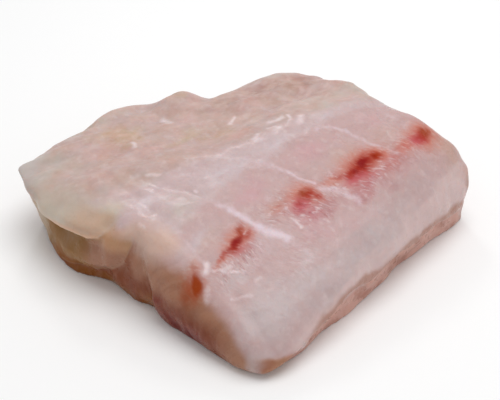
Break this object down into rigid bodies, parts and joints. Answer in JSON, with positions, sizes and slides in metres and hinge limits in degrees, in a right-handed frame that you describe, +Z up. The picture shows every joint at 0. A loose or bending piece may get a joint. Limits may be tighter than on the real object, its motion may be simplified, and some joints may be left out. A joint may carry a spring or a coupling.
{
  "type": "raw white fish fillet portion",
  "caption": "Thick squared portion of raw white fish fillet with a folded belly flap, a row of bloodline marks and visible flakes, lying inner face up.",
  "frame": {"origin": "middle of the bounding box's floor, under the middle of the portion", "axes": "+X along the fish from the near cut to the far cut, +Y from the back edge to the belly edge, +Z up out of the inner face"},
  "size_m": [0.1102, 0.1108, 0.0339],
  "materials": {
    "flesh": "wet translucent raw fish flesh"
  },
  "bodies": {
    "root": {"fillet": "flesh"}
  },
  "joints": []
}
